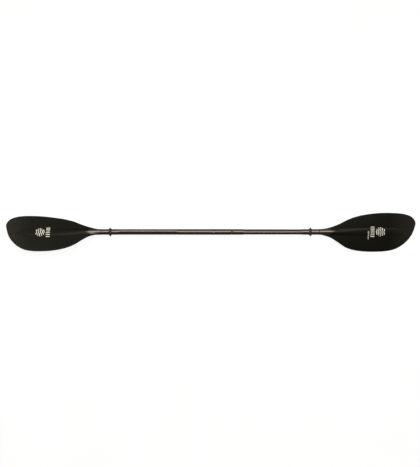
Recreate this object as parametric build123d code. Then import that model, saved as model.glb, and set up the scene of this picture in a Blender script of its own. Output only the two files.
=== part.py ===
from build123d import *
import os

# Two-piece touring kayak paddle, lying with the blades' back faces up.
# X runs along the shaft, from the left blade to the right blade. Y is across it and Z is up.
# The origin is on the shaft's axis, halfway between the blade tips.
# Each half is drawn flat, on the right: x is the distance from the origin, y points to the
# blade's longer edge and z to its back face. It is then mirrored if it is the left one, and
# turned about the shaft.

# ---- driving dimensions, mm and degrees ----
HALF_LENGTH = 1050.0       # origin to blade tip: a 2.10 m paddle
FEATHER = 45.0             # angle between the two blades as stored
SHAFT_WALL = 1.5

# shaft sizes, by distance from the origin
CENTRE_RADIUS = 14.3       # round stretch beside the joint
FERRULE_RADIUS = 14.45     # the left tube is thicker over the joint
OUTER_RADIUS = 14.25       # round stretch at the blade
GRIP_DEEP = 16.2           # oval grip: half height, across the blade's plane
GRIP_FLAT = 13.1           # oval grip: half width, in the blade's plane
GRIP_START = 180.0
GRIP_END = 460.0
GRIP_BLEND = 20.0          # length over which round turns to oval
ROUND_END = GRIP_START - GRIP_BLEND
CENTRE_BORE = CENTRE_RADIUS - SHAFT_WALL
TUBE_END = 625.0           # the tube stops inside the blade's neck

# joint in the shaft, by X
SEAM = 105.0               # rim of the left tube
COLLAR_START = 105.4
COLLAR_LIP_START = 107.5
COLLAR_END = 118.0
RIGHT_TUBE_START = 118.4
COLLAR_RADIUS = 14.5
COLLAR_SHOULDER = 14.1
COLLAR_NECK_RADIUS = 13.6
SOCKET_START = -30.0
SOCKET_BORE = 12.0
CORE_START = -8.0
CORE_END = 158.0
CORE_RADIUS = 11.95
CORE_BORE = 9.9
BULKHEAD_LENGTH = 14.0
CAP_LENGTH = 6.0

# snap button and its holes
BUTTON_X = 17.0
BUTTON_RADIUS = 3.9
BUTTON_TOP = 15.3
BUTTON_CROWN = 0.8
BUTTON_FLANGE_RADIUS = 5.2
BUTTON_FLANGE_TOP = 8.1
BUTTON_FLANGE_THICKNESS = 1.0
CORE_HOLE_RADIUS = 3.98
TUBE_HOLE_RADIUS = 4.25
FEATHER_SETTINGS = (0.0, -FEATHER, -2 * FEATHER)

# folded steel strip under the button
SPRING_THICKNESS = 0.7
SPRING_WIDTH = 8.0
SPRING_LENGTH = 52.0
SPRING_BEND = 2.0           # the fold's depth along the shaft
SPRING_BEND_HALF = 1.5      # half its height
SPRING_TOP = 7.05
SPRING_BOTTOM = -8.95
SPRING_FLAT = 14.0         # length of the flat under the button

# drip rings
RING_X = 512.0
RING_BORE = 14.3
RING_HUB_RADIUS = 17.2
RING_LIP_RADIUS = 23.8
RING_WIDTH = 15.0
RING_CORNER = 1.2
# the lip stands on a web: along the shaft, the outer side and then the inner side
RING_WEB_OUTER = 2.6
RING_LIP_ROOT_OUTER = 1.2
RING_LIP_OUTER = 1.6
RING_LIP_INNER = -0.6
RING_LIP_ROOT_INNER = -1.8
RING_WEB_INNER = -3.0
RING_WEB_RISE = 1.6

# blade
SKIN = 0.8                 # carbon skin
EDGE_BAND = 4.0            # width of the tough strip round the rim
EDGE_THICKNESS = 2.4
CORE_SWELL = 4.0           # how much thicker the blade is along its middle
SLAB_HALF_WIDTH = 125.0
COLUMN_REACH = 60.0          # well above and below every part of the blade
BLADE_START = 565.0
CROWN = 4.0                # fall of the back face at 100 mm from the middle
CROWN_REACH = 100.0         # distance from the middle at which CROWN is measured
TWIST_ZERO = 780.0         # distance at which the blade has no twist
TWIST_RATE = 0.052         # rise of the long edge, at CROWN_REACH from the middle, per mm of length

# middle of the blade, side on: distance from the origin, height
CENTRE_LINE = (
    (555.0, 2.0), (620.0, 7.5), (680.0, 6.3), (740.0, 0.8), (800.0, -3.6),
    (880.0, -5.0), (960.0, -5.8), (1060.0, -9.5),
)

# outline of the blade: distance from the origin, reach across
LONG_EDGE = (
    (BLADE_START, 13.0), (612.0, 24.5), (660.0, 43.0), (710.0, 67.5), (770.0, 85.5),
    (850.0, 97.2), (920.0, 99.6), (980.0, 95.6), (1022.0, 83.0), (1044.0, 62.0),
    (HALF_LENGTH, 40.0),
)
SHORT_EDGE = (
    (HALF_LENGTH, 40.0), (1033.0, -18.0), (1000.0, -62.0), (958.0, -91.5), (912.0, -104.5),
    (858.0, -108.0), (800.0, -106.3), (740.0, -97.5), (692.0, -80.0), (650.0, -51.0),
    (612.0, -28.0), (BLADE_START, -13.0),
)
TIP_DIRECTION = (0, -1)
NECK_SLOPE = 0.1

# spine: distance from the origin, half width, top and bottom height
SPINE = (
    (556.0, 15.0, 15.0, -15.0),
    (632.0, 16.0, 15.3, -15.3),
    (690.0, 18.5, 11.7, -13.5),
    (745.0, 20.0, 6.4, -12.0),
    (810.0, 20.0, 1.6, -10.5),
    (880.0, 20.0, 0.2, -9.2),
    (940.0, 19.0, -1.0, -8.4),
    (972.0, 12.0, -3.4, -7.6),
)
PLUG_START = 590.0
PLUG_LENGTH = 20.0

LEFT_TURN = -FEATHER / 2
RIGHT_TURN = FEATHER / 2


# ---- placing ----
def across(x):
    """The plane at a distance x along the shaft, its own x along Y and its own y along Z."""
    return Plane(origin=(x, 0, 0), x_dir=(0, 1, 0), z_dir=(1, 0, 0))


def to_right(shape):
    return shape.rotate(Axis.X, RIGHT_TURN)


def to_left(shape):
    return mirror(shape, about=Plane.YZ).rotate(Axis.X, LEFT_TURN)


def rod(radius, start, end):
    return extrude(across(start) * Circle(radius), amount=end - start)


def pipe(outer, inner, start, end):
    return rod(outer, start, end) - rod(inner, start, end)


# ---- shaft ----
def grip_stretch(inset):
    """The shaft from its round centre to the blade, taken in by inset on every side."""
    oval = Ellipse(GRIP_FLAT - inset, GRIP_DEEP - inset)
    centre = Circle(CENTRE_RADIUS - inset)
    outer = Circle(OUTER_RADIUS - inset)
    grip_out = GRIP_END + GRIP_BLEND
    body = loft([across(ROUND_END) * centre, across(GRIP_START) * oval])
    body += extrude(across(GRIP_START) * oval, amount=GRIP_END - GRIP_START)
    body += loft([across(GRIP_END) * oval, across(grip_out) * outer])
    body += rod(OUTER_RADIUS - inset, grip_out, TUBE_END)
    return body


def drill(radius):
    """A cutter from the shaft's axis out through the button's place."""
    return to_right(extrude(Pos(BUTTON_X, 0, 0) * Circle(radius), amount=2 * FERRULE_RADIUS))


def button_holes(shape, radius):
    """Holes round the shaft, one for each feather setting."""
    for angle in FEATHER_SETTINGS:
        shape -= drill(radius).rotate(Axis.X, angle)
    return shape


def left_shaft_tube():
    outside = to_left(grip_stretch(0.0)) + rod(CENTRE_RADIUS, -ROUND_END, 0.0)
    outside += rod(FERRULE_RADIUS, 0.0, SEAM)
    inside = to_left(grip_stretch(SHAFT_WALL)) + rod(CENTRE_BORE, -ROUND_END, SEAM)
    return button_holes(outside - inside, TUBE_HOLE_RADIUS)


def right_shaft_tube():
    outside = to_right(grip_stretch(0.0)) + rod(CENTRE_RADIUS, RIGHT_TUBE_START, ROUND_END)
    inside = to_right(grip_stretch(SHAFT_WALL)) + rod(CENTRE_BORE, RIGHT_TUBE_START, ROUND_END)
    return outside - inside


# ---- joint in the shaft ----
def ferrule_socket():
    liner = pipe(CENTRE_BORE, SOCKET_BORE, SOCKET_START, SEAM)
    return button_holes(liner, TUBE_HOLE_RADIUS)


def socket_bulkhead():
    end = SOCKET_START - 1.0
    return rod(CENTRE_BORE, end - BULKHEAD_LENGTH, end)


def ferrule_core():
    body = rod(CORE_RADIUS, CORE_START, RIGHT_TUBE_START)
    body += rod(CENTRE_BORE, RIGHT_TUBE_START, CORE_END)
    body -= rod(CORE_BORE, CORE_START, CORE_END)
    return body - drill(CORE_HOLE_RADIUS)


def core_cap():
    return rod(CORE_BORE, CORE_START, CORE_START + CAP_LENGTH)


def ferrule_collar():
    """A loose ring between the two tubes: a crowned band with a groove beside the seam."""
    middle = (COLLAR_LIP_START + COLLAR_END) / 2
    groove = Polyline(
        (COLLAR_END, COLLAR_SHOULDER),
        (COLLAR_END, SOCKET_BORE),
        (COLLAR_START, SOCKET_BORE),
        (COLLAR_START, COLLAR_NECK_RADIUS),
        (COLLAR_LIP_START, COLLAR_NECK_RADIUS),
        (COLLAR_LIP_START, COLLAR_SHOULDER),
    )
    crown = ThreePointArc(groove @ 1, (middle, COLLAR_RADIUS), groove @ 0)
    return revolve(Plane.XY * make_face([*groove.edges(), crown]), Axis.X)


def snap_button():
    flange_low = BUTTON_FLANGE_TOP - BUTTON_FLANGE_THICKNESS
    stem = extrude(Pos(0, 0, flange_low) * Circle(BUTTON_RADIUS), amount=BUTTON_TOP - flange_low)
    stem = fillet(stem.edges().group_by(Axis.Z)[-1], BUTTON_CROWN)
    flange = Circle(BUTTON_FLANGE_RADIUS)
    stem += extrude(Pos(0, 0, flange_low) * flange, amount=BUTTON_FLANGE_THICKNESS)
    return to_right(stem.translate((BUTTON_X, 0, 0)))


def button_spring():
    """A strip folded like a hairpin: flat under the button, open leg on the core's far wall."""
    near = BUTTON_X - SPRING_FLAT / 2
    flat_end = BUTTON_X + SPRING_FLAT / 2
    fold = near + SPRING_LENGTH
    middle = (SPRING_TOP + SPRING_BOTTOM) / 2
    line = Polyline(
        (near, SPRING_TOP - SPRING_THICKNESS / 2),
        (flat_end, SPRING_TOP - SPRING_THICKNESS / 2),
        (fold - SPRING_BEND, middle + SPRING_BEND_HALF),
    )
    back = Polyline(
        (fold - SPRING_BEND, middle - SPRING_BEND_HALF),
        (flat_end, SPRING_BOTTOM + SPRING_THICKNESS / 2),
        (near, SPRING_BOTTOM + SPRING_THICKNESS / 2),
    )
    bend = ThreePointArc(line @ 1, (fold, middle), back @ 0)
    strip = trace([*line.edges(), bend, *back.edges()], line_width=SPRING_THICKNESS)
    flat = Plane(origin=(0, SPRING_WIDTH / 2, 0), x_dir=(1, 0, 0), z_dir=(0, -1, 0))
    return to_right(extrude(flat * strip, amount=SPRING_WIDTH))


# ---- drip rings ----
def drip_ring():
    """A rubber cup: a hub that grips the shaft and a thin lip that throws the water off."""
    half = RING_WIDTH / 2
    profile = Polyline(
        (-half, RING_BORE),
        (half, RING_BORE),
        (half, RING_HUB_RADIUS - RING_CORNER),
        (half - RING_CORNER, RING_HUB_RADIUS),
        (RING_WEB_OUTER, RING_HUB_RADIUS),
        (RING_LIP_ROOT_OUTER, RING_HUB_RADIUS + RING_WEB_RISE),
        (RING_LIP_OUTER, RING_LIP_RADIUS),
        (RING_LIP_INNER, RING_LIP_RADIUS),
        (RING_LIP_ROOT_INNER, RING_HUB_RADIUS + RING_WEB_RISE),
        (RING_WEB_INNER, RING_HUB_RADIUS),
        (RING_CORNER - half, RING_HUB_RADIUS),
        (-half, RING_HUB_RADIUS - RING_CORNER),
        close=True,
    )
    return revolve(Plane.XY * make_face(profile), Axis.X).translate((RING_X, 0, 0))


# ---- blade ----
def back_face(x, middle, y):
    """Height of the back face over the shaft's axis."""
    twist = TWIST_RATE * (x - TWIST_ZERO)
    return middle - CROWN * (y / CROWN_REACH) ** 2 + twist * y / CROWN_REACH + EDGE_THICKNESS / 2


def thickness(x, y):
    """The blade is thickest along its middle and thins towards its rim and its tip."""
    fade = 1 - 0.75 * ((x - BLADE_START) / (HALF_LENGTH - BLADE_START)) ** 2
    return EDGE_THICKNESS + CORE_SWELL * fade * (1 - (y / SLAB_HALF_WIDTH) ** 2)


# levels in the blade: share of its thickness below the back face, then height added
BACK = (0, 0.0)
BACK_INNER = (0, -SKIN)
POWER_INNER = (1, SKIN)
POWER = (1, 0.0)


REACH = [SLAB_HALF_WIDTH * (i / 3 - 1) for i in range(7)]


def level_points(x, middle, level):
    share, raised = level
    return [
        (x, y, back_face(x, middle, y) - share * thickness(x, y) + raised) for y in REACH
    ]


def slab():
    """The whole blade's thickness, wider and longer than the blade."""
    sections = []
    for x, middle in CENTRE_LINE:
        high = Spline(*level_points(x, middle, BACK))
        low = Spline(*level_points(x, middle, POWER))
        sections.append(make_face([high, Line(high @ 1, low @ 1), low, Line(low @ 0, high @ 0)]))
    return loft(sections)


def level_surface(level):
    """The surface at one level, to cut the blade into its layers."""
    grid = [[Vector(*p) for p in level_points(x, middle, level)] for x, middle in CENTRE_LINE]
    return Face.make_surface_from_array_of_points(grid)


def inset_curve(curve, distance, count=14):
    """A smooth curve at a distance to the right of another."""
    points = []
    for i in range(count + 1):
        along = curve % (i / count)
        points.append(curve @ (i / count) + Vector(along.Y, -along.X) * distance)
    return Spline(*points, tangents=[curve % 0, curve % 1])


def layers(body, level):
    """A body cut in two at a level: the upper solid and the lower one."""
    pieces = split(body, bisect_by=level_surface(level), keep=Keep.BOTH).solids()
    return sorted(pieces, key=lambda piece: -piece.center().Z)


def outline(inset):
    """The blade's flat shape, taken in by inset. Its edges run clockwise from the neck."""
    top = Spline(*LONG_EDGE, tangents=[(1, NECK_SLOPE), TIP_DIRECTION])
    bottom = Spline(*SHORT_EDGE, tangents=[TIP_DIRECTION, (-1, NECK_SLOPE)])
    if inset:
        top = inset_curve(top, inset)
        bottom = inset_curve(bottom, inset)
    return make_face([top, bottom, Line(bottom @ 1, top @ 0)])


def column(face):
    """A tall prism over a flat outline."""
    return extrude(face, amount=COLUMN_REACH, both=True)


def spine_solid():
    sections = []
    for x, half_width, top, bottom in SPINE:
        ellipse = Ellipse(half_width, (top - bottom) / 2)
        sections.append(across(x) * (Pos(0, (top + bottom) / 2) * ellipse))
    return loft(sections)


def blade_pieces():
    spine = spine_solid()
    whole = column(outline(0.0))
    field = column(outline(EDGE_BAND))
    inside = (slab() & field) - spine
    back_skin, rest = layers(inside, BACK_INNER)
    foam_core, power_skin = layers(rest, POWER_INNER)
    return {
        "back_skin": back_skin,
        "foam_core": foam_core,
        "power_skin": power_skin,
        "edge_band": (slab() & (whole - field)) - spine,
        "spine": spine - rod(OUTER_RADIUS, SPINE[0][0] - 1, TUBE_END),
    }


def neck_plug():
    return rod(OUTER_RADIUS - SHAFT_WALL, PLUG_START, PLUG_START + PLUG_LENGTH)


# ---- the whole paddle ----
def build():
    nodes = {
        "left_shaft_tube": left_shaft_tube(),
        "right_shaft_tube": right_shaft_tube(),
        "ferrule_socket": ferrule_socket(),
        "socket_bulkhead": socket_bulkhead(),
        "ferrule_core": ferrule_core(),
        "core_cap": core_cap(),
        "ferrule_collar": ferrule_collar(),
        "snap_button": snap_button(),
        "button_spring": button_spring(),
    }
    mirrored = {"drip_ring": drip_ring(), "neck_plug": neck_plug()}
    for name, shape in blade_pieces().items():
        mirrored["blade_" + name] = shape
    for name, shape in mirrored.items():
        nodes["left_" + name] = to_left(shape)
        nodes["right_" + name] = to_right(shape)
    return nodes


os.makedirs("parts", exist_ok=True)
for node, shape in build().items():
    export_step(shape, os.path.join("parts", node + ".step"))
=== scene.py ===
"""A two-piece touring kayak paddle with carbon blades, on a pale studio floor.

Lengths are millimetres in each half's own flat frame, and metres in Blender.
In that frame x is the distance from the paddle's middle, y points to the blade's longer edge
and z to its back face. The left half is mirrored, and both are turned about the shaft.
"""
import bmesh
import bpy
import math
from mathutils import Matrix, Vector


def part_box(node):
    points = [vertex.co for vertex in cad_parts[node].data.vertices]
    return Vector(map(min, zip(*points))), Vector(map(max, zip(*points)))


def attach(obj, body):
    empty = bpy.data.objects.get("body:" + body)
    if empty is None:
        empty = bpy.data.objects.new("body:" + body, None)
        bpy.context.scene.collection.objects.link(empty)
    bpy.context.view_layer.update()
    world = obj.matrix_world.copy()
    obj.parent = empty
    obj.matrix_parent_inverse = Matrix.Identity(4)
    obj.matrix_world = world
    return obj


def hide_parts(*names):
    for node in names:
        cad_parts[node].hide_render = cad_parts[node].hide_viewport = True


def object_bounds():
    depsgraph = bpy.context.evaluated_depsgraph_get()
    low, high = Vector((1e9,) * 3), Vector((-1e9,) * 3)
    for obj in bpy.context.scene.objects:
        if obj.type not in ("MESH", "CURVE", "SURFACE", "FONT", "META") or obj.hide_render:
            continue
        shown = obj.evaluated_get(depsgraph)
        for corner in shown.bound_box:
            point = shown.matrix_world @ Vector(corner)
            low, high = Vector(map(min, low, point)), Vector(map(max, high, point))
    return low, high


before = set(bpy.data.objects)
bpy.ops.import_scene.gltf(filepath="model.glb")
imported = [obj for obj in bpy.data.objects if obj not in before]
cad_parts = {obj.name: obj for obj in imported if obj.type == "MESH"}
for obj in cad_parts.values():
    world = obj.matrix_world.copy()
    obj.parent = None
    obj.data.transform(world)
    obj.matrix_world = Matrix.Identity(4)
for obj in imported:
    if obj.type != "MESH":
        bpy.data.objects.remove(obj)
CAD_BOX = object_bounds()

bl_info = {
    "name": "Touring kayak paddle",
    "version": (1, 0, 0),
    "blender": (4, 5, 0),
    "location": "3D View > Sidebar > Paddle",
    "description": "Builds the blades, marks, drip rings, finishes and studio of a paddle",
    "category": "Object",
}

MM = 0.001
SIDES = ("left", "right")

# ---- the blade's shape, as the CAD has it ----
HALF_LENGTH = 1050.0
NECK_START = 556.0
BLADE_START = 565.0
EDGE_THICKNESS = 2.4
CORE_SWELL = 4.0
SLAB_HALF_WIDTH = 125.0
CROWN = 4.0
TWIST_ZERO = 780.0
TWIST_RATE = 0.052
FEATHER = 45.0
OUTER_RADIUS = 14.25       # the shaft between the grip and the blade
RIM_TRIM = 0.3            # the visible rim stands this far inside the CAD outline
RIM_WIDTH = 4.0
RIM_ROUND = 1.6           # how far in from the rim its rounding reaches
FULL_GAP = 16.0           # where spine and rim are closer than this, the steps between are squeezed
SPINE_SIDE_FALL = 5.0     # how steeply the spine's section falls away past its sides
NECK_END = 700.0          # beyond this the plate is everywhere wider than the spine
TIP_DRIFT = (965.0, 1046.0)  # the middle of the sections moves over to the tip's point here

# ---- the shaft ----
CENTRE_RADIUS = 14.3
FERRULE_RADIUS = 14.45
CENTRE_BORE = 12.8
GRIP_FLAT = 13.1
GRIP_DEEP = 16.2
ROUND_END = 160.0
GRIP_START = 180.0
GRIP_END = 460.0
GRIP_OUT = 480.0
TUBE_END = 625.0
SEAM = 105.0
RIGHT_TUBE_START = 118.4
BUTTON_X = 17.0
HOLE_RADIUS = 4.25
FEATHER_SETTINGS = (0.0, -45.0, -90.0)
HOLE_PATCH = FERRULE_RADIUS * math.radians(FEATHER) / 2  # half the way to the next hole
TURNS = 96                 # points round the shaft

CENTRE_LINE = (
    (555.0, 2.0), (620.0, 7.5), (680.0, 6.3), (740.0, 0.8), (800.0, -3.6),
    (880.0, -5.0), (960.0, -5.8), (1060.0, -9.5),
)
LONG_EDGE = (
    (BLADE_START, 13.0), (612.0, 24.5), (660.0, 43.0), (710.0, 67.5), (770.0, 85.5),
    (850.0, 97.2), (920.0, 99.6), (980.0, 95.6), (1022.0, 83.0), (1044.0, 62.0),
    (HALF_LENGTH, 40.0),
)
SHORT_EDGE = (
    (BLADE_START, -13.0), (612.0, -28.0), (650.0, -51.0), (692.0, -80.0), (740.0, -97.5),
    (800.0, -106.3), (858.0, -108.0), (912.0, -104.5), (958.0, -91.5), (1000.0, -62.0),
    (1033.0, -18.0), (HALF_LENGTH, 40.0),
)
# spine: distance from the middle, half width, top and bottom height
SPINE = (
    (556.0, 14.4, 14.4, -14.4),
    (585.0, 15.1, 15.0, -15.0),
    (632.0, 16.0, 15.3, -15.3),
    (690.0, 18.5, 11.7, -13.5),
    (745.0, 20.0, 6.4, -12.0),
    (810.0, 20.0, 1.6, -10.5),
    (880.0, 20.0, 0.2, -9.2),
    (940.0, 19.0, -1.0, -8.4),
    (972.0, 12.0, -3.4, -7.6),
)
SPINE_END = 972.0
SPINE_SINK = 0.35         # how fast the spine dives into the blade past its end


class PaddleSizes(bpy.types.PropertyGroup):
    """Sizes that can be changed."""

    rings: bpy.props.IntProperty(
        name="Blade rings", description="Cross-sections along each blade", default=150, min=20
    )
    fillet: bpy.props.FloatProperty(
        name="Spine fillet", description="Softness of the crease beside the spine, mm",
        default=7.0, min=0.1,
    )
    ring_radius: bpy.props.FloatProperty(
        name="Drip ring radius", description="Outer radius of the drip ring's lip, mm",
        default=23.6,
    )
    ring_lean: bpy.props.FloatProperty(
        name="Drip ring lean", description="How far the left ring's soft lip leans",
        default=math.radians(4.0), subtype="ANGLE",
    )
    mark_lift: bpy.props.FloatProperty(
        name="Mark lift", description="Thickness of the printed marks, mm", default=0.15
    )


class PaddleFinish(bpy.types.PropertyGroup):
    """Colours, as sRGB hex, and the cloth's scale."""

    blade: bpy.props.StringProperty(
        name="Blade", description="Carbon cloth under a satin coat", default="#0F0E09"
    )
    blade_thread: bpy.props.StringProperty(
        name="Blade thread", description="The lighter threads of the cloth", default="#181610"
    )
    shaft: bpy.props.StringProperty(
        name="Shaft", description="Carbon tube under clear resin", default="#1A150F"
    )
    shaft_band: bpy.props.StringProperty(
        name="Shaft band", description="The lighter bands of the wound tube", default="#2C241A"
    )
    rubber: bpy.props.StringProperty(
        name="Rubber", description="Drip rings", default="#1D1713"
    )
    mark: bpy.props.StringProperty(
        name="Marks", description="Printed marks on the blades", default="#F4F3EE"
    )
    # painted light: the paler cloth colour at the blade's tip stands in for the light its curl
    # catches
    painted_tip_light: bpy.props.StringProperty(
        name="Painted tip light", description="Cloth painted paler at the blade's tip, for the light its curl catches", default="#2F2E27"
    )
    neck: bpy.props.StringProperty(
        name="Neck", description="Carbon under resin where the blade sheathes the tube",
        default="#1E1811",
    )
    tow: bpy.props.FloatProperty(
        name="Tow width", description="Width of one thread of the blade's cloth",
        default=0.002, unit="LENGTH", subtype="DISTANCE",
    )


class PaddleStudio(bpy.types.PropertyGroup):
    """Light and camera."""

    key: bpy.props.FloatProperty(
        name="Key light", description="Radiance of the soft box over the far side", default=5.2
    )
    tint: bpy.props.StringProperty(
        name="Lamp tint", description="The soft boxes' slightly warm white", default="#FFF8EA"
    )
    fill: bpy.props.FloatProperty(
        name="Fill", description="Strength of the room's light", default=0.1
    )
    floor: bpy.props.StringProperty(
        name="Floor", description="Opal acrylic sheet", default="#FAFAFA"
    )
    table: bpy.props.FloatProperty(
        name="Table light", description="Strength of the light beneath the sheet", default=1.0
    )


# ---- shape helpers ----
def smooth_step(low, high, value):
    t = min(1.0, max(0.0, (value - low) / (high - low)))
    return t * t * (3 - 2 * t)


def along(points, x, column=1):
    """A smooth curve through points, read at x."""
    last = len(points) - 1
    i = 0
    while i < last - 1 and points[i + 1][0] < x:
        i += 1
    before = points[max(i - 1, 0)]
    a = points[i]
    b = points[i + 1]
    after = points[min(i + 2, last)]
    span = b[0] - a[0]
    slope_a = (b[column] - before[column]) / (b[0] - before[0])
    slope_b = (after[column] - a[column]) / (after[0] - a[0])
    t = min(1.0, max(0.0, (x - a[0]) / span))
    rise = (2 * t**3 - 3 * t**2 + 1) * a[column] + (3 * t**2 - 2 * t**3) * b[column]
    rise += ((t**3 - 2 * t**2 + t) * slope_a + (t**3 - t**2) * slope_b) * span
    return rise


def edge_curve(points, steps=40):
    """The rim as a dense line: smooth through the points, and square to x at the tip."""
    line = []
    count = len(points)
    for i in range(count - 1):
        a = Vector(points[i])
        b = Vector(points[i + 1])
        out = (b - Vector(points[i - 1])) * 0.5 if i else b - a
        tip_way = 1 if b.y > a.y else -1
        into = (Vector(points[i + 2]) - a) * 0.5 if i + 2 < count else Vector((0, 22 * tip_way))
        for k in range(steps):
            t = k / steps
            p = a * (2 * t**3 - 3 * t**2 + 1) + b * (3 * t**2 - 2 * t**3)
            line.append(p + out * (t**3 - 2 * t**2 + t) + into * (t**3 - t**2))
    line.append(Vector(points[-1]))
    return line


LONG_RIM = edge_curve(LONG_EDGE)
SHORT_RIM = edge_curve(SHORT_EDGE)


def reach(rim, x):
    """How far across the rim is at x."""
    if x <= rim[0].x:
        return rim[0].y
    for a, b in zip(rim, rim[1:]):
        if b.x >= x:
            share = (x - a.x) / max(b.x - a.x, 1e-6)
            return a.y + (b.y - a.y) * min(1.0, share)
    return rim[-1].y


def plate(x, y):
    """Top and bottom of the blade without its spine."""
    top = along(CENTRE_LINE, x) - CROWN * (y / 100) ** 2
    top += TWIST_RATE * (x - TWIST_ZERO) * y / 100 + EDGE_THICKNESS / 2
    fade = 1 - 0.75 * ((x - BLADE_START) / (HALF_LENGTH - BLADE_START)) ** 2
    depth = EDGE_THICKNESS + CORE_SWELL * fade * (1 - (y / SLAB_HALF_WIDTH) ** 2)
    return top, top - depth


def spine(x, y):
    """Top and bottom of the spine's rounded section, falling away steeply past its sides."""
    sunk = max(0.0, x - SPINE_END) * SPINE_SINK
    width = along(SPINE, min(x, SPINE_END), 1)
    high = along(SPINE, min(x, SPINE_END), 2) - sunk
    low = along(SPINE, min(x, SPINE_END), 3) + sunk
    middle = (high + low) / 2
    half = (high - low) / 2
    aside = abs(y)
    if aside < width:
        rise = half * math.sqrt(1 - (aside / width) ** 2)
    else:
        rise = -SPINE_SIDE_FALL * (aside - width)
    return middle + rise, middle - rise


def soft_max(a, b, softness):
    """The larger of two heights, with a fillet where they meet."""
    near = max(softness - abs(a - b), 0.0) / softness
    return max(a, b) + near * near * softness / 4


def section_heights(x, y, shown, fillet):
    """Top and bottom of the whole blade at a point. shown is how far the plate is out of the neck."""
    high, low = spine(x, y)
    if shown <= 0:
        return high, low
    top, bottom = plate(x, y)
    joined_top = soft_max(high, top, fillet)
    joined_bottom = -soft_max(-low, -bottom, fillet)
    return high + (joined_top - high) * shown, low + (joined_bottom - low) * shown


def side_columns(width, edge):
    """Distances from the middle to the rim: close together by the spine and by the rim."""
    gap = max(edge - width, 0.05)
    squeeze = min(1.0, gap / FULL_GAP)
    columns = [width * math.sin(math.radians(90 * j / 12)) for j in range(13)]
    columns += [width + d * squeeze for d in (0.2, 0.5, 0.9, 1.4, 2.0, 2.8, 3.8, 5.0, 6.5)]
    start = columns[-1]
    end = width + gap - RIM_WIDTH * squeeze
    columns += [start + (end - start) * j / 14 for j in range(1, 15)]
    columns += [width + gap - d * squeeze for d in (3.0, 2.2, 1.5, 0.9, 0.45, 0.15, 0.0)]
    return columns


SPINE_COLUMNS = 19         # columns that belong to the spine's own piece
RIM_COLUMNS = 7            # columns that belong to the edge band


def ring(x, fillet):
    """One closed cross-section, as top and bottom rows for each side, from the middle out."""
    long_reach = reach(LONG_RIM, x) - RIM_TRIM
    short_reach = reach(SHORT_RIM, x) + RIM_TRIM
    drift = smooth_step(*TIP_DRIFT, x)
    middle = (long_reach + short_reach) / 2 * drift
    width = along(SPINE, min(x, SPINE_END), 1)
    rows = {}
    for side, edge in ((1, long_reach - middle), (-1, middle - short_reach)):
        narrow = min(width, edge * 0.45) if x > NECK_END else width
        shown = 1.0 if x > NECK_END else smooth_step(-3.0, 0.5, edge - narrow)
        gap = max(edge - narrow, 0.05)
        rim = RIM_ROUND * min(1.0, gap / FULL_GAP)
        tops = []
        bottoms = []
        for d in side_columns(narrow, edge):
            y = middle + side * d
            high, low = section_heights(x, y, shown, fillet)
            inset = min(1.0, (narrow + gap - d) / rim)
            bulge = math.sqrt(max(0.0, 1 - (1 - inset) ** 2))
            centre = (high + low) / 2
            half = (high - low) / 2 * bulge
            tops.append((x, y, centre + half))
            bottoms.append((x, y, centre - half))
        rows[side] = (tops, bottoms)
    return rows


def place(side):
    """From a half's own flat frame in mm to the paddle's frame in metres."""
    sign = -1 if side == "left" else 1
    turn = Matrix.Rotation(sign * math.radians(FEATHER / 2), 4, "X")
    return turn @ Matrix.Diagonal((sign * MM, MM, MM, 1))


def mesh_object(name, points, faces, material, turn_faces=False):
    mesh = bpy.data.meshes.new(name)
    if turn_faces:
        faces = [tuple(reversed(f)) for f in faces]
    mesh.from_pydata([tuple(p) for p in points], [], faces)
    mesh.validate()
    mesh.shade_smooth()
    mesh.materials.append(material)
    piece = bpy.data.objects.new(name, mesh)
    bpy.context.scene.collection.objects.link(piece)
    return piece


def sheet_between(rows):
    """Points and faces of a grid of rows."""
    across = len(rows[0])
    points = [p for row in rows for p in row]
    faces = []
    for i in range(len(rows) - 1):
        for j in range(across - 1):
            a = i * across + j
            faces.append((a, a + 1, a + 1 + across, a + across))
    return points, faces


# ---- material helpers ----
def linear(code):
    """sRGB hex to linear RGBA."""
    values = [int(code[i:i + 2], 16) / 255 for i in (1, 3, 5)]
    return [v / 12.92 if v <= 0.04045 else ((v + 0.055) / 1.055) ** 2.4 for v in values] + [1.0]


def add(tree, kind, inputs=None, **settings):
    """Adds a node, sets its settings, and fills or links its inputs."""
    node = tree.nodes.new(kind)
    for key, value in settings.items():
        setattr(node, key, value)
    for key, value in (inputs or {}).items():
        if isinstance(value, bpy.types.NodeSocket):
            tree.links.new(value, node.inputs[key])
        else:
            node.inputs[key].default_value = value
    return node


def new_material(name):
    material = bpy.data.materials.new(name)
    material.use_nodes = True
    material.node_tree.nodes.clear()
    return material, material.node_tree


def close(tree, inputs, **fixed):
    """The shader and its output."""
    shader = add(tree, "ShaderNodeBsdfPrincipled", {**inputs, **fixed})
    add(tree, "ShaderNodeOutputMaterial", {"Surface": shader.outputs["BSDF"]})


def ramp_mix(tree, factor, low, high):
    """A colour that goes from low to high with a factor."""
    mix = add(tree, "ShaderNodeMix", {"Factor": factor}, data_type="RGBA")
    mix.inputs[6].default_value = low
    mix.inputs[7].default_value = high
    return mix.outputs[2]


def wave_scale(period):
    """A band texture's scale for bands one period, in metres, apart."""
    return 2 * math.pi / (20 * period)


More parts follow.
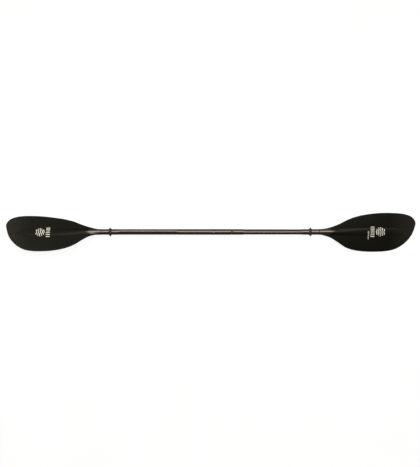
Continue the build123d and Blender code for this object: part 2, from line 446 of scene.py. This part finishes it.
# ---- materials ----
def carbon_twill(finish, side, glossy_neck=False):
    """Carbon twill cloth in epoxy under a satin coat, or glossy resin where it sheathes the tube.

    The eye gets near black with a faint diagonal rib, a slightly warm cast from the resin
    and a soft, low sheen. Threads are 2 mm wide, so the diagonal repeats every 5.7 mm.
    """
    kind = "carbon_twill_glossy_neck_" if glossy_neck else "carbon_twill_satin_"
    material, tree = new_material(kind + side)
    place_at = add(tree, "ShaderNodeTexCoord")
    turn = -FEATHER / 2 if side == "left" else FEATHER / 2
    flat = add(tree, "ShaderNodeMapping", {
        "Vector": place_at.outputs["Object"], "Rotation": (-math.radians(turn), 0, 0),
    })
    diagonal = add(tree, "ShaderNodeMapping", {
        "Vector": flat.outputs["Vector"], "Rotation": (0, 0, math.radians(45)),
    })
    rib = add(tree, "ShaderNodeTexWave", {
        "Vector": diagonal.outputs["Vector"], "Scale": wave_scale(finish.tow * 2 * math.sqrt(2)),
        "Distortion": 0.4, "Detail": 1.0,
    }, bands_direction="X")
    thread = add(tree, "ShaderNodeTexWave", {
        "Vector": flat.outputs["Vector"], "Scale": wave_scale(finish.tow),
    }, bands_direction="Y")
    cloth = add(tree, "ShaderNodeMath", {0: rib.outputs["Fac"], 1: thread.outputs["Fac"]},
                operation="MULTIPLY")
    # resin lies a little thicker here and there, tens of millimetres across
    cloud = add(tree, "ShaderNodeTexNoise", {
        "Vector": flat.outputs["Vector"], "Scale": 18.0, "Detail": 3.0,
    })
    blend = add(tree, "ShaderNodeMath", {0: cloth.outputs[0], 1: cloud.outputs["Fac"]},
                operation="MULTIPLY")
    clean = ramp_mix(tree, blend.outputs[0], linear(finish.blade), linear(finish.blade_thread))
    # fine scuffs along the blade from sand and water
    stretched = add(tree, "ShaderNodeMapping", {
        "Vector": flat.outputs["Vector"], "Scale": (6.0, 60.0, 6.0),
    })
    scuffs = add(tree, "ShaderNodeTexNoise", {
        "Vector": stretched.outputs["Vector"], "Scale": 12.0, "Detail": 5.0,
    })
    # painted light: the last 130 mm are made paler, standing in for the light the blade's curled tip
    # catches
    apart = add(tree, "ShaderNodeSeparateXYZ", {"Vector": place_at.outputs["Object"]})
    far = add(tree, "ShaderNodeMath", {0: apart.outputs["X"]}, operation="ABSOLUTE")
    tip = add(tree, "ShaderNodeMapRange", {
        "Value": far.outputs[0], "From Min": 0.92, "From Max": 1.03,
    })
    painted_tip_mask = add(tree, "ShaderNodeMath", {0: tip.outputs[0], 1: scuffs.outputs["Fac"]},
                operation="MULTIPLY")
    # mixes the painted tip light into the cloth colour
    painted_tip_light = add(tree, "ShaderNodeMix", {"Factor": painted_tip_mask.outputs[0]}, data_type="RGBA")
    tree.links.new(clean, painted_tip_light.inputs[6])
    painted_tip_light.inputs[7].default_value = linear(finish.painted_tip_light)
    colour = painted_tip_light.outputs[2]
    rough = add(tree, "ShaderNodeMapRange", {
        "Value": scuffs.outputs["Fac"], "From Min": 0.3, "From Max": 0.7,
        "To Min": 0.38, "To Max": 0.47,
    })
    bump = add(tree, "ShaderNodeBump", {
        "Height": cloth.outputs[0], "Strength": 0.25, "Distance": 0.0001,
    })
    inputs = {
        "Base Color": colour, "Roughness": rough.outputs[0], "Normal": bump.outputs[0],
        "IOR": 1.5, "Specular IOR Level": 0.12,
    }
    if glossy_neck:
        inputs.update(neck_gloss(tree, place_at, colour, rough.outputs[0], finish))
    close(tree, inputs)
    return material


def neck_gloss(tree, place_at, colour, rough, finish):
    """The clear resin of the tube runs on over the neck and dies out in a tongue."""
    apart = add(tree, "ShaderNodeSeparateXYZ", {"Vector": place_at.outputs["Object"]})
    far = add(tree, "ShaderNodeMath", {0: apart.outputs["X"]}, operation="ABSOLUTE")
    wide = add(tree, "ShaderNodeMath", {0: apart.outputs["Y"]}, operation="ABSOLUTE")
    tongue = add(tree, "ShaderNodeMath", {0: wide.outputs[0], 1: 1.6, 2: far.outputs[0]},
                 operation="MULTIPLY_ADD")
    gloss = add(tree, "ShaderNodeMapRange", {
        "Value": tongue.outputs[0], "From Min": 0.642, "From Max": 0.612,
    })
    level = add(tree, "ShaderNodeMapRange", {
        "Value": gloss.outputs[0], "To Min": 0.12, "To Max": 0.5,
    })
    smooth = add(tree, "ShaderNodeMix", {"Factor": gloss.outputs[0], "A": rough, "B": 0.26})
    coat = add(tree, "ShaderNodeMath", {0: gloss.outputs[0], 1: 0.9}, operation="MULTIPLY")
    brown = add(tree, "ShaderNodeMix", {"Factor": gloss.outputs[0]}, data_type="RGBA")
    tree.links.new(colour, brown.inputs[6])
    brown.inputs[7].default_value = linear(finish.neck)
    return {
        "Base Color": brown.outputs[2], "Roughness": smooth.outputs[0],
        "Specular IOR Level": level.outputs[0], "Coat Weight": coat.outputs[0],
        "Coat Roughness": 0.08,
    }


def edge_resin():
    """Aramid edging cord soaked in epoxy, sanded round: darker and smoother than the cloth."""
    material, tree = new_material("edge_resin")
    place_at = add(tree, "ShaderNodeTexCoord")
    nicks = add(tree, "ShaderNodeTexNoise", {
        "Vector": place_at.outputs["Object"], "Scale": 140.0, "Detail": 4.0,
    })
    colour = ramp_mix(tree, nicks.outputs["Fac"], linear("#11100B"), linear("#1C1A14"))
    bump = add(tree, "ShaderNodeBump", {
        "Height": nicks.outputs["Fac"], "Strength": 0.2, "Distance": 0.0003,
    })
    close(tree, {
        "Base Color": colour, "Normal": bump.outputs[0], "Roughness": 0.42, "IOR": 1.5,
        "Specular IOR Level": 0.2,
    })
    return material


def wound_carbon(finish):
    """Carbon tube wound from cloth tape, under glossy clear resin.

    The eye gets a hard bright line along the tube, a brown-black body beneath it and faint
    slanting bands from the tape, about 12 mm apart.
    """
    material, tree = new_material("wound_carbon_shaft")
    place_at = add(tree, "ShaderNodeTexCoord")
    slant = add(tree, "ShaderNodeMapping", {
        "Vector": place_at.outputs["Object"], "Rotation": (0, 0, math.radians(35)),
    })
    bands = add(tree, "ShaderNodeTexWave", {
        "Vector": slant.outputs["Vector"], "Scale": wave_scale(0.012), "Distortion": 1.0,
        "Detail": 2.0,
    }, bands_direction="X")
    cloud = add(tree, "ShaderNodeTexNoise", {
        "Vector": place_at.outputs["Object"], "Scale": 30.0, "Detail": 4.0,
    })
    blend = add(tree, "ShaderNodeMath", {0: bands.outputs["Fac"], 1: cloud.outputs["Fac"]},
                operation="MULTIPLY")
    colour = ramp_mix(tree, blend.outputs[0], linear(finish.shaft), linear(finish.shaft_band))
    rough = add(tree, "ShaderNodeMapRange", {
        "Value": cloud.outputs["Fac"], "To Min": 0.20, "To Max": 0.26,
    })
    close(tree, {
        "Base Color": colour, "Roughness": rough.outputs[0],
        "IOR": 1.5, "Coat Weight": 0.9, "Coat Roughness": 0.08,
    })
    return material


def moulded_rubber(finish):
    """Moulded black rubber, dusty: no clear highlight, a faint brown bloom and fine grain."""
    material, tree = new_material("moulded_rubber")
    place_at = add(tree, "ShaderNodeTexCoord")
    grain = add(tree, "ShaderNodeTexNoise", {
        "Vector": place_at.outputs["Object"], "Scale": 900.0, "Detail": 3.0,
    })
    bloom = add(tree, "ShaderNodeTexNoise", {
        "Vector": place_at.outputs["Object"], "Scale": 60.0, "Detail": 3.0,
    })
    colour = ramp_mix(tree, bloom.outputs["Fac"], linear(finish.rubber), linear("#2E2620"))
    bump = add(tree, "ShaderNodeBump", {
        "Height": grain.outputs["Fac"], "Strength": 0.3, "Distance": 0.0002,
    })
    close(tree, {
        "Base Color": colour, "Normal": bump.outputs[0], "Roughness": 0.62, "IOR": 1.52,
    })
    return material


def moulded_nylon(name, low, high):
    """Glass-filled nylon, moulded: an even grey-black with a fine pebble and a satin sheen."""
    material, tree = new_material(name)
    place_at = add(tree, "ShaderNodeTexCoord")
    pebble = add(tree, "ShaderNodeTexNoise", {
        "Vector": place_at.outputs["Object"], "Scale": 700.0, "Detail": 3.0,
    })
    colour = ramp_mix(tree, pebble.outputs["Fac"], linear(low), linear(high))
    bump = add(tree, "ShaderNodeBump", {
        "Height": pebble.outputs["Fac"], "Strength": 0.2, "Distance": 0.0001,
    })
    close(tree, {
        "Base Color": colour, "Normal": bump.outputs[0], "Roughness": 0.45, "IOR": 1.53,
    })
    return material


def brushed_steel():
    """Stainless steel, brushed: pale grey metal with fine lines that soften its highlight."""
    material, tree = new_material("brushed_stainless_steel")
    place_at = add(tree, "ShaderNodeTexCoord")
    lines = add(tree, "ShaderNodeMapping", {
        "Vector": place_at.outputs["Object"], "Scale": (40.0, 900.0, 900.0),
    })
    brush = add(tree, "ShaderNodeTexNoise", {
        "Vector": lines.outputs["Vector"], "Scale": 4.0, "Detail": 3.0,
    })
    colour = ramp_mix(tree, brush.outputs["Fac"], linear("#8E8A82"), linear("#B5B0A6"))
    rough = add(tree, "ShaderNodeMapRange", {
        "Value": brush.outputs["Fac"], "To Min": 0.26, "To Max": 0.42,
    })
    close(tree, {"Base Color": colour, "Roughness": rough.outputs[0], "Metallic": 1.0})
    return material


def closed_cell_foam():
    """Closed-cell foam: chalky and dull, pitted with cells about 1 mm across."""
    material, tree = new_material("closed_cell_foam")
    place_at = add(tree, "ShaderNodeTexCoord")
    cells = add(tree, "ShaderNodeTexVoronoi", {
        "Vector": place_at.outputs["Object"], "Scale": 1000.0,
    })
    colour = ramp_mix(tree, cells.outputs["Distance"], linear("#8D8A82"), linear("#C9C5BA"))
    bump = add(tree, "ShaderNodeBump", {
        "Height": cells.outputs["Distance"], "Strength": 0.5, "Distance": 0.0003,
    })
    close(tree, {
        "Base Color": colour, "Normal": bump.outputs[0], "Roughness": 0.9, "IOR": 1.45,
    })
    return material


def printed_ink(finish):
    """Pad-printed white ink: flat, a little thin in places, with a soft sheen."""
    material, tree = new_material("pad_printed_ink")
    place_at = add(tree, "ShaderNodeTexCoord")
    thin = add(tree, "ShaderNodeTexNoise", {
        "Vector": place_at.outputs["Object"], "Scale": 260.0, "Detail": 4.0,
    })
    colour = ramp_mix(tree, thin.outputs["Fac"], linear("#D9D8D2"), linear(finish.mark))
    close(tree, {"Base Color": colour, "Roughness": 0.5, "IOR": 1.5})
    return material


def backlit_acrylic(studio):
    """Opal acrylic sheet lit from beneath: an even pale field in which no shadow shows."""
    material, tree = new_material("backlit_opal_acrylic")
    place_at = add(tree, "ShaderNodeTexCoord")
    # the sheet's own cloudiness, some hundreds of millimetres across
    cloud = add(tree, "ShaderNodeTexNoise", {
        "Vector": place_at.outputs["Object"], "Scale": 3.0, "Detail": 2.0,
    })
    colour = ramp_mix(tree, cloud.outputs["Fac"], linear("#F4F4F4"), linear(studio.floor))
    close(tree, {
        "Base Color": linear("#3A3A3A"), "Roughness": 0.6, "Emission Color": colour,
        "Emission Strength": studio.table,
    })
    return material


# ---- pieces ----
def blade_rings(sizes):
    """Cross-sections from the neck to the tip, closer together towards the tip."""
    rings = []
    for i in range(sizes.rings + 1):
        left = 1 - i / sizes.rings
        x = HALF_LENGTH - RIM_TRIM - (HALF_LENGTH - RIM_TRIM - NECK_START) * left**1.7
        rings.append(ring(x, sizes.fillet))
    return rings


def skin_sheet(rings, face):
    """One face of the blade outside the spine, as a left and a right sheet in one mesh."""
    points = []
    faces = []
    for side in (1, -1):
        rows = [r[side][face][SPINE_COLUMNS:-RIM_COLUMNS + 1] for r in rings]
        more, grid = sheet_between(rows)
        if (side == 1) != (face == 0):
            grid = [tuple(reversed(f)) for f in grid]
        faces += [tuple(i + len(points) for i in f) for f in grid]
        points += more
    return points, faces


class PADDLE_OT_blades(bpy.types.Operator):
    """Builds the skins, edge band and spine of both blades"""

    bl_idname = "paddle.blades"
    bl_label = "Blades"

    def execute(self, context):
        sizes = context.scene.paddle_sizes
        finish = context.scene.paddle_finish
        rings = blade_rings(sizes)
        edging = edge_resin()
        for side in SIDES:
            self.skins(side, rings, carbon_twill(finish, side))
            self.edge_band(side, rings, edging)
            self.spine(side, rings, carbon_twill(finish, side, glossy_neck=True))
        return {"FINISHED"}

    def finish_piece(self, side, name, points, faces, material, nodes):
        to_paddle = place(side)
        placed = [to_paddle @ Vector(p) for p in points]
        piece = mesh_object(side + name, placed, faces, material, side == "left")
        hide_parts(*[side + node for node in nodes])
        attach(piece, side + "_half")
        return piece

    def skins(self, side, rings, material):
        for face, name in ((0, "_blade_back_skin"), (1, "_blade_power_skin")):
            points, faces = skin_sheet(rings, face)
            nodes = [name, "_blade_foam_core"] if face == 0 else [name]
            self.finish_piece(side, name + "_laid_up", points, faces, material, nodes)

    def edge_band(self, side, rings, material):
        points = []
        faces = []
        for way in (1, -1):
            rows = []
            for r in rings:
                top = r[way][0][-RIM_COLUMNS:]
                bottom = r[way][1][-RIM_COLUMNS:-1]
                rows.append(top + bottom[::-1])
            more, grid = sheet_between(rows)
            if way == -1:
                grid = [tuple(reversed(f)) for f in grid]
            faces += [tuple(i + len(points) for i in f) for f in grid]
            points += more
        self.finish_piece(
            side, "_blade_edge_band_cord", points, faces, material, ["_blade_edge_band"]
        )

    def spine(self, side, rings, material):
        rows = []
        for r in rings:
            count = SPINE_COLUMNS + 1
            top = r[-1][0][:count][::-1] + r[1][0][1:count]
            bottom = r[1][1][:count][::-1] + r[-1][1][1:count]
            rows.append((top, bottom))
        points = []
        faces = []
        for k in (0, 1):
            more, grid = sheet_between([row[k] for row in rows])
            grid = [tuple(reversed(f)) for f in grid]
            faces += [tuple(i + len(points) for i in f) for f in grid]
            points += more
        # a lip that closes the neck down onto the shaft
        for start, row in ((0, rows[0][0]), (len(rows) * len(rows[0][0]), rows[0][1])):
            base = len(points)
            for p in row:
                out = math.hypot(p[1], p[2])
                share = (OUTER_RADIUS - 0.2) / out
                points.append((p[0], p[1] * share, p[2] * share))
            for j in range(len(row) - 1):
                faces.append((start + j, start + j + 1, base + j + 1, base + j))
        self.finish_piece(side, "_blade_spine_faired", points, faces, material, ["_blade_spine"])


def ribbon(line, half_width):
    """Rows of flat points along a line: both edges and the middle."""
    rows = []
    count = len(line)
    for i, p in enumerate(line):
        ahead = line[min(i + 1, count - 1)]
        behind = line[max(i - 1, 0)]
        way = (Vector(ahead) - Vector(behind)).normalized()
        normal = Vector((-way.y, way.x))
        rows.append([Vector(p) + normal * half_width * s for s in (-1, -0.5, 0, 0.5, 1)])
    return rows


def wave_line(x, y, length, swell):
    """A wavy line across the blade, through x and y."""
    steps = 36
    line = []
    for i in range(steps + 1):
        t = i / steps
        line.append((x + swell * math.sin(t * 3 * math.pi), y + length * (t - 0.5)))
    return line


def bar_line(x, y, dx, dy):
    steps = 6
    return [(x + dx * (i / steps - 0.5), y + dy * (i / steps - 0.5)) for i in range(steps + 1)]


def mark_ribbons(side):
    """Plain marks: stacked waves, a ladder of bars, and on the right a row of small dashes."""
    ribbons = []
    for i, length in enumerate((30, 42, 48, 42, 30)):
        ribbons.append(ribbon(wave_line(852 + 9.5 * i, 0, length, 1.8), 1.5))
    for i in range(6):
        ribbons.append(ribbon(bar_line(831, 25 - 10 * i, 20, 0), 1.7))
    if side == "right":
        for i in range(9):
            ribbons.append(ribbon(bar_line(810, 3 - 5 * i, 7, 0), 0.8))
    return ribbons


class PADDLE_OT_marks(bpy.types.Operator):
    """Prints plain marks on both blades"""

    bl_idname = "paddle.marks"
    bl_label = "Marks"

    def execute(self, context):
        sizes = context.scene.paddle_sizes
        ink = printed_ink(context.scene.paddle_finish)
        for side in SIDES:
            to_paddle = place(side)
            points = []
            faces = []
            for rows in mark_ribbons(side):
                lifted = []
                for row in rows:
                    heights = [section_heights(p.x, p.y, 1.0, sizes.fillet)[0] for p in row]
                    lifted.append([
                        to_paddle @ Vector((p.x, p.y, h + sizes.mark_lift))
                        for p, h in zip(row, heights)
                    ])
                more, grid = sheet_between(lifted)
                faces += [tuple(i + len(points) for i in f) for f in grid]
                points += more
            piece = mesh_object(side + "_blade_marks", points, faces, ink, side == "left")
            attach(piece, side + "_half")
        return {"FINISHED"}


def shaft_section(x):
    """Half widths of the shaft along y and z in a half's own frame, out of its round centre."""
    if x <= GRIP_START:
        share = min(1.0, max(0.0, (x - ROUND_END) / (GRIP_START - ROUND_END)))
        return (CENTRE_RADIUS + (GRIP_FLAT - CENTRE_RADIUS) * share,
                CENTRE_RADIUS + (GRIP_DEEP - CENTRE_RADIUS) * share)
    share = min(1.0, max(0.0, (x - GRIP_END) / (GRIP_OUT - GRIP_END)))
    return (GRIP_FLAT + (OUTER_RADIUS - GRIP_FLAT) * share,
            GRIP_DEEP + (OUTER_RADIUS - GRIP_DEEP) * share)


def stations(start, end):
    """Places along the shaft for cross-sections: close together where the section changes."""
    ends = (start, ROUND_END, GRIP_START, GRIP_END, GRIP_OUT, end)
    places = []
    for a, b, count in zip(ends, ends[1:], (20, 8, 40, 8, 24)):
        places += [a + (b - a) * k / count for k in range(count)]
    return places + [end]


def tube_rows(start, end):
    """Rings of the shaft's outside in a half's own frame."""
    rows = []
    for x in stations(start, end):
        flat, deep = shaft_section(x)
        row = []
        for k in range(TURNS + 1):
            angle = 2 * math.pi * k / TURNS
            row.append((x, flat * math.sin(angle), deep * math.cos(angle)))
        rows.append(row)
    return rows


def mouth(x, radius, inward):
    """The tube's cut end: a small round over the wall, then a short way into the bore."""
    rows = []
    wall = radius - CENTRE_BORE
    steps = ((0, 0), (0.12, 0.03), (0.2, 0.2), (0.2, wall), (-6, wall))
    for out, down in steps:
        row = []
        for k in range(TURNS + 1):
            angle = 2 * math.pi * k / TURNS
            r = radius - down
            row.append((x + (out - 0.2) * inward, r * math.sin(angle), r * math.cos(angle)))
        rows.append(row)
    return rows


class Skin:
    """Gathers grids into one mesh, in the paddle's own frame in mm."""

    def __init__(self):
        self.points = []
        self.faces = []

    def grid(self, rows):
        more, faces = sheet_between(rows)
        self.faces += [tuple(i + len(self.points) for i in f) for f in faces]
        self.points += [tuple(p) for p in more]

    def piece(self, name, material):
        """One object with its grids joined where they meet, and crisp where they turn sharply."""
        points = [Vector(p) * MM for p in self.points]
        made = mesh_object(name, points, self.faces, material)
        work = bmesh.new()
        work.from_mesh(made.data)
        bmesh.ops.remove_doubles(work, verts=work.verts, dist=0.00001)
        bmesh.ops.recalc_face_normals(work, faces=work.faces)
        work.to_mesh(made.data)
        work.free()
        made.data.set_sharp_from_angle(angle=math.radians(35))
        return made


def on_ferrule(x, arc):
    """A point of the ferrule's outside, arc being millimetres round it from the +Z side."""
    angle = arc / FERRULE_RADIUS
    return (x, -FERRULE_RADIUS * math.sin(angle), FERRULE_RADIUS * math.cos(angle))


def hole_patch(arc_middle):
    """A square patch of the ferrule with a drilled hole, and the hole's wall."""
    side = 10
    square = []
    for k in range(4 * side):
        t = (k % side) / side * 2 - 1
        corner = ((t, -1), (1, t), (-t, 1), (-1, -t))[k // side]
        square.append((corner[0] * HOLE_PATCH, corner[1] * HOLE_PATCH))
    square.append(square[0])
    rows = []
    for share in (0, 0.25, 0.5, 0.75, 0.92, 1.0):
        row = []
        for u, v in square:
            away = math.hypot(u, v)
            keep = 1 + (HOLE_RADIUS / away - 1) * share
            row.append(on_ferrule(BUTTON_X + u * keep, arc_middle + v * keep))
        rows.append(row)
    lip = rows[-1]
    axis = Vector(on_ferrule(0, arc_middle)).normalized()
    for down in (0.15, 0.8, 1.6):
        rows.append([tuple(Vector(p) - axis * down) for p in lip])
    return rows


class PADDLE_OT_shaft(bpy.types.Operator):
    """Draws both shaft tubes with a smooth outside, open mouths and the button's holes"""

    bl_idname = "paddle.shaft"
    bl_label = "Shaft"

    def execute(self, context):
        tube = wound_carbon(context.scene.paddle_finish)
        self.half("right", RIGHT_TUBE_START + 0.2, tube)
        self.half("left", 0.0, tube)
        return {"FINISHED"}

    def half(self, side, start, tube):
        turn = place(side).to_3x3() * (1 / MM)
        skin = Skin()
        rows = [[turn @ Vector(p) for p in row] for row in tube_rows(start, TUBE_END)]
        skin.grid(rows)
        if side == "right":
            skin.grid(mouth(RIGHT_TUBE_START, CENTRE_RADIUS, -1))
        else:
            self.ferrule(skin)
        piece = skin.piece(side + "_shaft_tube_wound", tube)
        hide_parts(side + "_shaft_tube")
        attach(piece, side + "_half")

    def ferrule(self, skin):
        """The left tube's widened end: plain grids round three square patches with holes."""
        middles = sorted(math.radians(FEATHER / 2 + a) * FERRULE_RADIUS for a in FEATHER_SETTINGS)
        around = 2 * math.pi * FERRULE_RADIUS
        low = BUTTON_X - HOLE_PATCH
        high = BUTTON_X + HOLE_PATCH
        self.band(skin, 0.0, low, 0, around)
        self.band(skin, high, SEAM - 0.2, 0, around)
        self.band(skin, low, high, middles[-1] + HOLE_PATCH, middles[0] - HOLE_PATCH + around)
        for middle in middles:
            skin.grid(hole_patch(middle))
        shoulder = CENTRE_RADIUS / FERRULE_RADIUS
        edge = [on_ferrule(0.0, around * k / TURNS) for k in range(TURNS + 1)]
        skin.grid([edge, [(x, y * shoulder, z * shoulder) for x, y, z in edge]])
        skin.grid(mouth(SEAM, FERRULE_RADIUS, 1))

    def band(self, skin, x_start, x_end, arc_start, arc_end):
        columns = max(2, int((arc_end - arc_start) * TURNS / (2 * math.pi * FERRULE_RADIUS)))
        lengths = max(2, int((x_end - x_start) / 4))
        rows = []
        for i in range(lengths + 1):
            x = x_start + (x_end - x_start) * i / lengths
            row = []
            for k in range(columns + 1):
                row.append(on_ferrule(x, arc_start + (arc_end - arc_start) * k / columns))
            rows.append(row)
        skin.grid(rows)


class PADDLE_OT_drip_rings(bpy.types.Operator):
    """Lathes the soft drip rings"""

    bl_idname = "paddle.drip_rings"
    bl_label = "Drip rings"

    def profile(self, lip):
        """Half of the ring's section: distance along the shaft, radius."""
        hub = 17.0
        points = [(-7.3, 14.4), (-7.4, 16.2), (-6.9, 16.9), (-6.2, hub), (-5.4, hub - 0.4)]
        points += [(-4.6, hub), (-3.6, hub + 0.4), (-2.7, hub + 1.4), (-2.0, 20.2), (-1.5, 22.0)]
        points += [(-1.2, lip - 0.5), (-0.7, lip - 0.1), (0.3, lip), (1.1, lip - 0.1)]
        points += [(1.6, lip - 0.6), (1.7, 22.0), (2.1, 20.2), (2.8, hub + 1.4), (3.7, hub + 0.4)]
        points += [(4.7, hub), (5.4, hub - 0.4), (6.2, hub), (6.9, 16.9), (7.4, 16.2), (7.3, 14.4)]
        return points

    def execute(self, context):
        sizes = context.scene.paddle_sizes
        rubber = moulded_rubber(context.scene.paddle_finish)
        turns = 72
        for side in SIDES:
            low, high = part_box(side + "_drip_ring")
            middle = (low.x + high.x) / 2
            lean = math.tan(sizes.ring_lean) if side == "left" else 0.0
            rows = []
            for i in range(turns + 1):
                angle = 2 * math.pi * i / turns
                row = []
                for along_shaft, radius in self.profile(sizes.ring_radius):
                    y = radius * math.cos(angle)
                    soft = smooth_step(17.5, 21.0, radius)
                    x = along_shaft - lean * y * soft * 0.5
                    row.append((middle + x * MM, y * MM, radius * math.sin(angle) * MM))
                rows.append(row)
            points, faces = sheet_between(rows)
            ring_piece = mesh_object(side + "_drip_ring_cup", points, faces, rubber)
            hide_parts(side + "_drip_ring")
            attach(ring_piece, side + "_ring")
        return {"FINISHED"}


class PADDLE_OT_hardware(bpy.types.Operator):
    """Gives the joint and the inner pieces their finishes"""

    bl_idname = "paddle.hardware"
    bl_label = "Joint and inner pieces"

    def execute(self, context):
        steel = brushed_steel()
        foam = closed_cell_foam()
        collar = moulded_nylon("moulded_nylon_collar", "#191714", "#24211D")
        ferrule = moulded_nylon("moulded_nylon_ferrule", "#1C1B1A", "#2A2927")
        finishes = {
            "ferrule_collar": collar, "core_cap": collar,
            "ferrule_socket": ferrule, "ferrule_core": ferrule,
            "snap_button": steel, "button_spring": steel,
            "socket_bulkhead": foam, "left_neck_plug": foam, "right_neck_plug": foam,
        }
        for name, material in finishes.items():
            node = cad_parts[name]
            node.data.materials.clear()
            node.data.materials.append(material)
        return {"FINISHED"}


# ---- studio ----
CAMERA_LEAN = math.radians(10)     # the camera leans this far from straight above
CAMERA_DISTANCE = 6.642            # metres
CAMERA_LENS = 100.0
AIM_ALONG = -0.0015
AIM_ACROSS = -0.0080
FLOOR_HALF_WIDTH = 6.0
FLOOR_GAP = 0.0005
# soft boxes: degrees from the camera's line, distance, size in metres, share of the key's radiance
SOFT_BOXES = (
    ("key_box", 18, 2.6, (4.2, 1.65), 1.0),
    ("low_box", 66, 3.0, (4.6, 1.8), 0.16),
)


class PADDLE_OT_stage(bpy.types.Operator):
    """Lays the floor, hangs the soft box and sets the camera"""

    bl_idname = "paddle.stage"
    bl_label = "Stage"

    def execute(self, context):
        studio = context.scene.paddle_studio
        self.floor(studio)
        self.room(studio)
        back = Vector((0, -math.sin(CAMERA_LEAN), math.cos(CAMERA_LEAN)))
        up = Vector((0, math.cos(CAMERA_LEAN), math.sin(CAMERA_LEAN)))
        self.camera(back, up)
        for name, angle, distance, size, share in SOFT_BOXES:
            self.soft_box(name, back, up, angle, distance, size, studio.key * share)
        context.scene.view_settings.view_transform = "Standard"
        return {"FINISHED"}

    def floor(self, studio):
        half = FLOOR_HALF_WIDTH
        z = CAD_BOX[0].z - FLOOR_GAP
        corners = [(-half, -half, z), (half, -half, z), (half, half, z), (-half, half, z)]
        sweep = mesh_object("floor", corners, [(0, 1, 2, 3)], backlit_acrylic(studio))
        sweep.visible_glossy = False

    def room(self, studio):
        world = bpy.data.worlds.new("room")
        world.use_nodes = True
        world.node_tree.nodes["Background"].inputs["Color"].default_value = (1, 1, 1, 1)
        world.node_tree.nodes["Background"].inputs["Strength"].default_value = studio.fill
        bpy.context.scene.world = world

    def soft_box(self, name, back, up, angle, distance, size, radiance):
        """A wide lamp, turned from the camera's line towards the far side of the paddle."""
        turned = math.radians(angle)
        towards = back * math.cos(turned) + up * math.sin(turned)
        lamp = bpy.data.lights.new(name, "AREA")
        lamp.shape = "RECTANGLE"
        lamp.size, lamp.size_y = size
        studio = bpy.context.scene.paddle_studio
        lamp.color = linear(studio.tint)[:3]
        lamp.energy = radiance * math.pi * size[0] * size[1]
        holder = bpy.data.objects.new(name, lamp)
        holder.location = towards * distance
        holder.visible_camera = False
        holder.rotation_mode = "QUATERNION"
        holder.rotation_quaternion = (-towards).to_track_quat("-Z", "Y")
        bpy.context.scene.collection.objects.link(holder)

    def camera(self, back, up):
        lens = bpy.data.cameras.new("camera")
        lens.lens = CAMERA_LENS
        camera = bpy.data.objects.new("camera", lens)
        aim = Vector((AIM_ALONG, 0, 0)) + up * AIM_ACROSS
        camera.location = aim + back * CAMERA_DISTANCE
        right = Vector((1, 0, 0))
        camera.rotation_mode = "QUATERNION"
        camera.rotation_quaternion = Matrix((right, up, back)).transposed().to_quaternion()
        bpy.context.scene.collection.objects.link(camera)
        bpy.context.scene.camera = camera


class PADDLE_PT_panel(bpy.types.Panel):
    """Shows the values that can be changed, and a button for each group of pieces"""

    bl_label = "Paddle"
    bl_idname = "PADDLE_PT_panel"
    bl_space_type = "VIEW_3D"
    bl_region_type = "UI"
    bl_category = "Paddle"

    def draw(self, context):
        layout = self.layout
        for group in ("paddle_sizes", "paddle_finish", "paddle_studio"):
            box = layout.box()
            values = getattr(context.scene, group)
            for key in values.__annotations__:
                box.prop(values, key)
        for operator in OPERATORS:
            layout.operator(operator.bl_idname)


OPERATORS = (
    PADDLE_OT_stage, PADDLE_OT_blades, PADDLE_OT_marks, PADDLE_OT_shaft,
    PADDLE_OT_drip_rings, PADDLE_OT_hardware,
)
GROUPS = (PaddleSizes, PaddleFinish, PaddleStudio)


def register():
    for cls in (*GROUPS, *OPERATORS, PADDLE_PT_panel):
        bpy.utils.register_class(cls)
    bpy.types.Scene.paddle_sizes = bpy.props.PointerProperty(type=PaddleSizes)
    bpy.types.Scene.paddle_finish = bpy.props.PointerProperty(type=PaddleFinish)
    bpy.types.Scene.paddle_studio = bpy.props.PointerProperty(type=PaddleStudio)


def unregister():
    del bpy.types.Scene.paddle_studio
    del bpy.types.Scene.paddle_finish
    del bpy.types.Scene.paddle_sizes
    for cls in reversed((*GROUPS, *OPERATORS, PADDLE_PT_panel)):
        bpy.utils.unregister_class(cls)


def main():
    register()
    bpy.ops.paddle.stage()
    bpy.ops.paddle.blades()
    bpy.ops.paddle.marks()
    bpy.ops.paddle.shaft()
    bpy.ops.paddle.drip_rings()
    bpy.ops.paddle.hardware()


if __name__ == "__main__":
    main()
